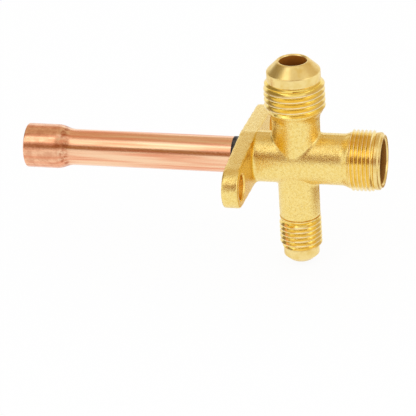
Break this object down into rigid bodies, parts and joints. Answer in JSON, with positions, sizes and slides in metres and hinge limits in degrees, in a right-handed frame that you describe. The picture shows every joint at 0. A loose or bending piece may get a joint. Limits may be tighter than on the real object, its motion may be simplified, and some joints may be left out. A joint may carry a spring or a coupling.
{
  "type": "refrigerant service valve",
  "caption": "Flanged brass refrigerant service valve with copper stub tube, flare port, service port with spring core, and a screwed stem inside its cap port.",
  "frame": {"origin": "centre of the flange's mounting face", "axes": "+X along the barrel to the stem port, -X along the stub tube, +Z along the flare port, -Z along the service port, Y along the flange"},
  "size_m": [0.0958, 0.0488, 0.0565],
  "materials": {
    "forged_brass": "sand-blasted forging with machined ports",
    "copper": "drawn copper tube, satin",
    "braze": "dark oxidised braze",
    "stem_brass": "turned",
    "core_brass": "turned",
    "steel": "spring steel",
    "seal_rubber": "matt",
    "seal_plastic": "matt"
  },
  "bodies": {
    "body": {"valve_body": "forged_brass", "stub_tube": "copper", "braze_ring": "braze", "stem_retaining_ring": "steel", "core_plug": "core_brass", "core_barrel": "core_brass", "core_barrel_seal": "seal_plastic", "core_spring": "steel"},
    "stem_seal": {"stem_o_ring": "seal_rubber"},
    "stem": {"valve_stem": "stem_brass"},
    "pin": {"core_pin": "steel", "core_cup": "core_brass", "core_cup_seal": "seal_rubber"}
  },
  "joints": [
    {"name": "stem_travel", "type": "slide", "parent": "body", "child": "stem_seal", "axis": [1, 0, 0], "range_m": [0, 0.004]},
    {"name": "stem_turn", "type": "hinge", "parent": "stem_seal", "child": "stem", "pos_m": [0.01495, 0, 0], "axis": [1, 0, 0], "range_deg": [0, 1440]},
    {"name": "core_press", "type": "slide", "parent": "body", "child": "pin", "axis": [0, 0, 1], "range_m": [0, 0.0012], "stiffness_N_per_m": 400, "springref_m": -0.002, "deforming": ["core_spring"]}
  ],
  "couplings": [
    {"joint": "stem_turn", "follows": "stem_travel", "rad_per_m": 6283.2}
  ]
}
